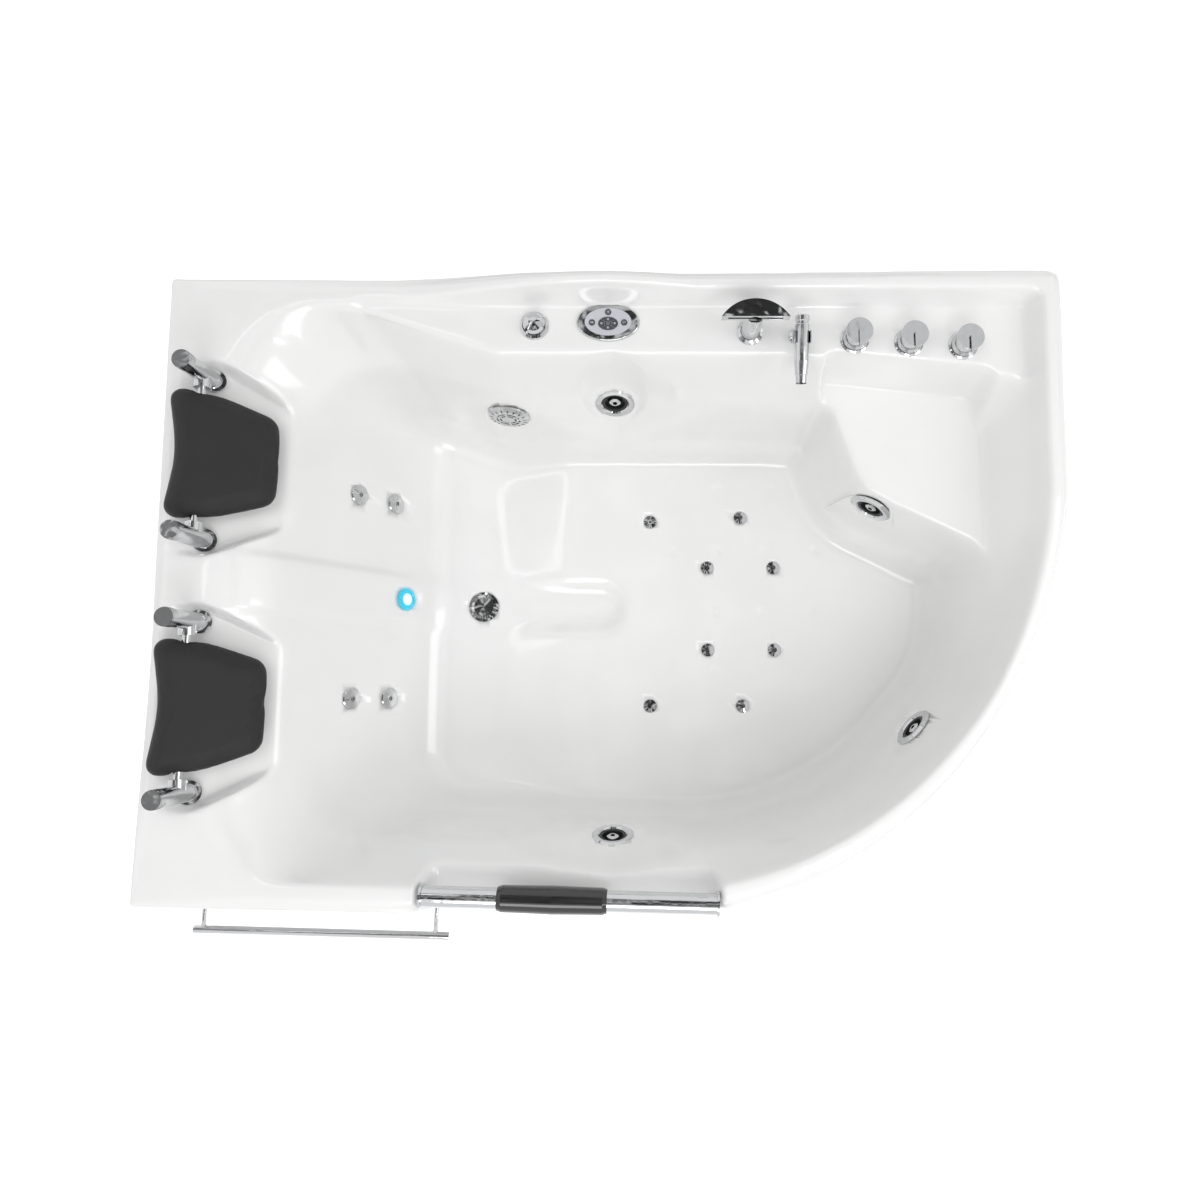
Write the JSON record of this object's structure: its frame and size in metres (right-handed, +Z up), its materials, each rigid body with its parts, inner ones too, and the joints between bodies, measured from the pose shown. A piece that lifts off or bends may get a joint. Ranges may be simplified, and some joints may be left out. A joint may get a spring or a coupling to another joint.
{
  "type": "jetted bathtub",
  "caption": "Corner jetted tub for two bathers with headrests, corner seat, water and air jets, tap set, control panel, grab rail and towel rail.",
  "frame": {"origin": "middle of the whole object's footprint, on the floor", "axes": "+X along the back wall towards the corner seat, +Y to the back wall, +Z up"},
  "size_m": [1.7, 1.269, 0.69],
  "materials": {
    "acrylic_shell": "high gloss white acrylic",
    "apron_panel": "high gloss white acrylic",
    "chrome_trim": "polished chrome",
    "pillow_skin": "moulded black foam skin",
    "grip_black": "gloss black",
    "jet_cup": "gloss black",
    "pipe_white": "moulded pvc",
    "light_lens": "lit frosted lens",
    "panel_face": "satin grey membrane",
    "key_caps": "satin light grey",
    "frame_steel": "galvanised and painted",
    "foot_rubber": "matte black",
    "pump_housing": "matte black",
    "motor_paint": "blue enamel",
    "screw_steel": "plain zinc"
  },
  "bodies": {
    "tub": {"tub_shell": "acrylic_shell", "front_apron": "apron_panel", "pillow_posts": "chrome_trim", "jet_rings": "chrome_trim", "jet_bodies": "jet_cup", "backrest_jet_faces": "chrome_trim", "backrest_jet_bodies": "pipe_white", "air_jet_faces": "chrome_trim", "air_jet_bodies": "pipe_white", "light_bezel": "chrome_trim", "light_lens": "light_lens", "light_housing": "pipe_white", "suction_cover": "chrome_trim", "suction_body": "pipe_white", "drain_flange": "chrome_trim", "drain_body": "pipe_white", "panel_bezel": "chrome_trim", "panel_face": "panel_face", "panel_housing": "pump_housing", "air_knob_base": "chrome_trim", "waterfall_spout": "chrome_trim", "spout_flange": "chrome_trim", "valve_escutcheons": "chrome_trim", "valve_bodies": "screw_steel", "handset_holder": "chrome_trim", "rail_tube": "chrome_trim", "rail_grip": "grip_black", "rail_flanges": "chrome_trim", "towel_bar": "chrome_trim", "towel_posts": "chrome_trim", "apron_screws": "screw_steel", "support_frame": "frame_steel", "levelling_feet": "foot_rubber", "foot_lock_nuts": "screw_steel", "pump": "pump_housing", "motor": "motor_paint", "blower": "pump_housing", "control_box": "pipe_white", "suction_pipe": "pipe_white"},
    "headrest_back": {"pillow_back": "pillow_skin"},
    "headrest_front": {"pillow_front": "pillow_skin"},
    "hot_handle": {"valve_knob_hot": "chrome_trim"},
    "cold_handle": {"valve_knob_cold": "chrome_trim"},
    "diverter_handle": {"valve_knob_diverter": "chrome_trim"},
    "air_control": {"air_knob": "chrome_trim"},
    "nozzle_back": {"jet_nozzle_back": "chrome_trim"},
    "nozzle_seat": {"jet_nozzle_seat": "chrome_trim"},
    "nozzle_right": {"jet_nozzle_right": "chrome_trim"},
    "nozzle_front": {"jet_nozzle_front": "chrome_trim"},
    "button_hub": {"key_hub": "key_caps"},
    "button_left": {"key_left": "key_caps"},
    "button_right": {"key_right": "key_caps"},
    "button_up": {"key_up": "key_caps"},
    "button_down": {"key_down": "key_caps"},
    "button_light": {"key_light": "key_caps"},
    "button_heat": {"key_heat": "key_caps"},
    "button_air": {"key_air": "key_caps"},
    "hand_shower": {"handset": "chrome_trim"},
    "waste_plug": {"drain_plug": "chrome_trim"}
  },
  "joints": [
    {"name": "headrest_tilt_back", "type": "hinge", "parent": "tub", "child": "headrest_back", "pos_m": [-0.77, 0.28153, 0.613], "axis": [0, 1, 0], "range_deg": [-10, 0]},
    {"name": "headrest_tilt_front", "type": "hinge", "parent": "tub", "child": "headrest_front", "pos_m": [-0.77, -0.18447, 0.613], "axis": [0, 1, 0], "range_deg": [-10, 0]},
    {"name": "turn_hot", "type": "hinge", "parent": "tub", "child": "hot_handle", "pos_m": [0.467, 0.51453, 0.59], "axis": [0, 0, 1], "range_deg": [-90, 0]},
    {"name": "turn_cold", "type": "hinge", "parent": "tub", "child": "cold_handle", "pos_m": [0.571, 0.50853, 0.59], "axis": [0, 0, 1], "range_deg": [0, 90]},
    {"name": "turn_diverter", "type": "hinge", "parent": "tub", "child": "diverter_handle", "pos_m": [0.675, 0.50253, 0.59], "axis": [0, 0, 1], "range_deg": [-45, 45]},
    {"name": "turn_air_control", "type": "hinge", "parent": "tub", "child": "air_control", "pos_m": [-0.149, 0.54153, 0.59], "axis": [0, 0, 1], "range_deg": [0, 120]},
    {"name": "aim_back", "type": "hinge", "parent": "tub", "child": "nozzle_back", "pos_m": [-0.002, 0.47221, 0.37649], "axis": [1, 0, 0], "range_deg": [-12, 12]},
    {"name": "aim_seat", "type": "hinge", "parent": "tub", "child": "nozzle_seat", "pos_m": [0.54156, 0.23354, 0.40696], "axis": [0.8624, -0.5062, 0], "range_deg": [-12, 12]},
    {"name": "aim_right", "type": "hinge", "parent": "tub", "child": "nozzle_right", "pos_m": [0.6218, -0.23855, 0.39396], "axis": [-0.6491, -0.7607, 0], "range_deg": [-12, 12]},
    {"name": "aim_front", "type": "hinge", "parent": "tub", "child": "nozzle_front", "pos_m": [-0.002, -0.45991, 0.38187], "axis": [-1, 0, 0], "range_deg": [-12, 12]},
    {"name": "press_hub", "type": "slide", "parent": "tub", "child": "button_hub", "axis": [0, 0, -1], "range_m": [0, 0.001], "stiffness_N_per_m": 900},
    {"name": "press_left", "type": "slide", "parent": "tub", "child": "button_left", "axis": [0, 0, -1], "range_m": [0, 0.001], "stiffness_N_per_m": 900},
    {"name": "press_right", "type": "slide", "parent": "tub", "child": "button_right", "axis": [0, 0, -1], "range_m": [0, 0.001], "stiffness_N_per_m": 900},
    {"name": "press_up", "type": "slide", "parent": "tub", "child": "button_up", "axis": [0, 0, -1], "range_m": [0, 0.001], "stiffness_N_per_m": 900},
    {"name": "press_down", "type": "slide", "parent": "tub", "child": "button_down", "axis": [0, 0, -1], "range_m": [0, 0.001], "stiffness_N_per_m": 900},
    {"name": "press_light", "type": "slide", "parent": "tub", "child": "button_light", "axis": [0, 0, -1], "range_m": [0, 0.001], "stiffness_N_per_m": 900},
    {"name": "press_heat", "type": "slide", "parent": "tub", "child": "button_heat", "axis": [0, 0, -1], "range_m": [0, 0.001], "stiffness_N_per_m": 900},
    {"name": "press_air", "type": "slide", "parent": "tub", "child": "button_air", "axis": [0, 0, -1], "range_m": [0, 0.001], "stiffness_N_per_m": 900},
    {"name": "lift_hand_shower", "type": "slide", "parent": "tub", "child": "hand_shower", "axis": [0, -0.2419, 0.9703], "range_m": [0, 0.15]},
    {"name": "plug_travel", "type": "slide", "parent": "tub", "child": "waste_plug", "axis": [0, 0, 1], "range_m": [0, 0.008]}
  ]
}
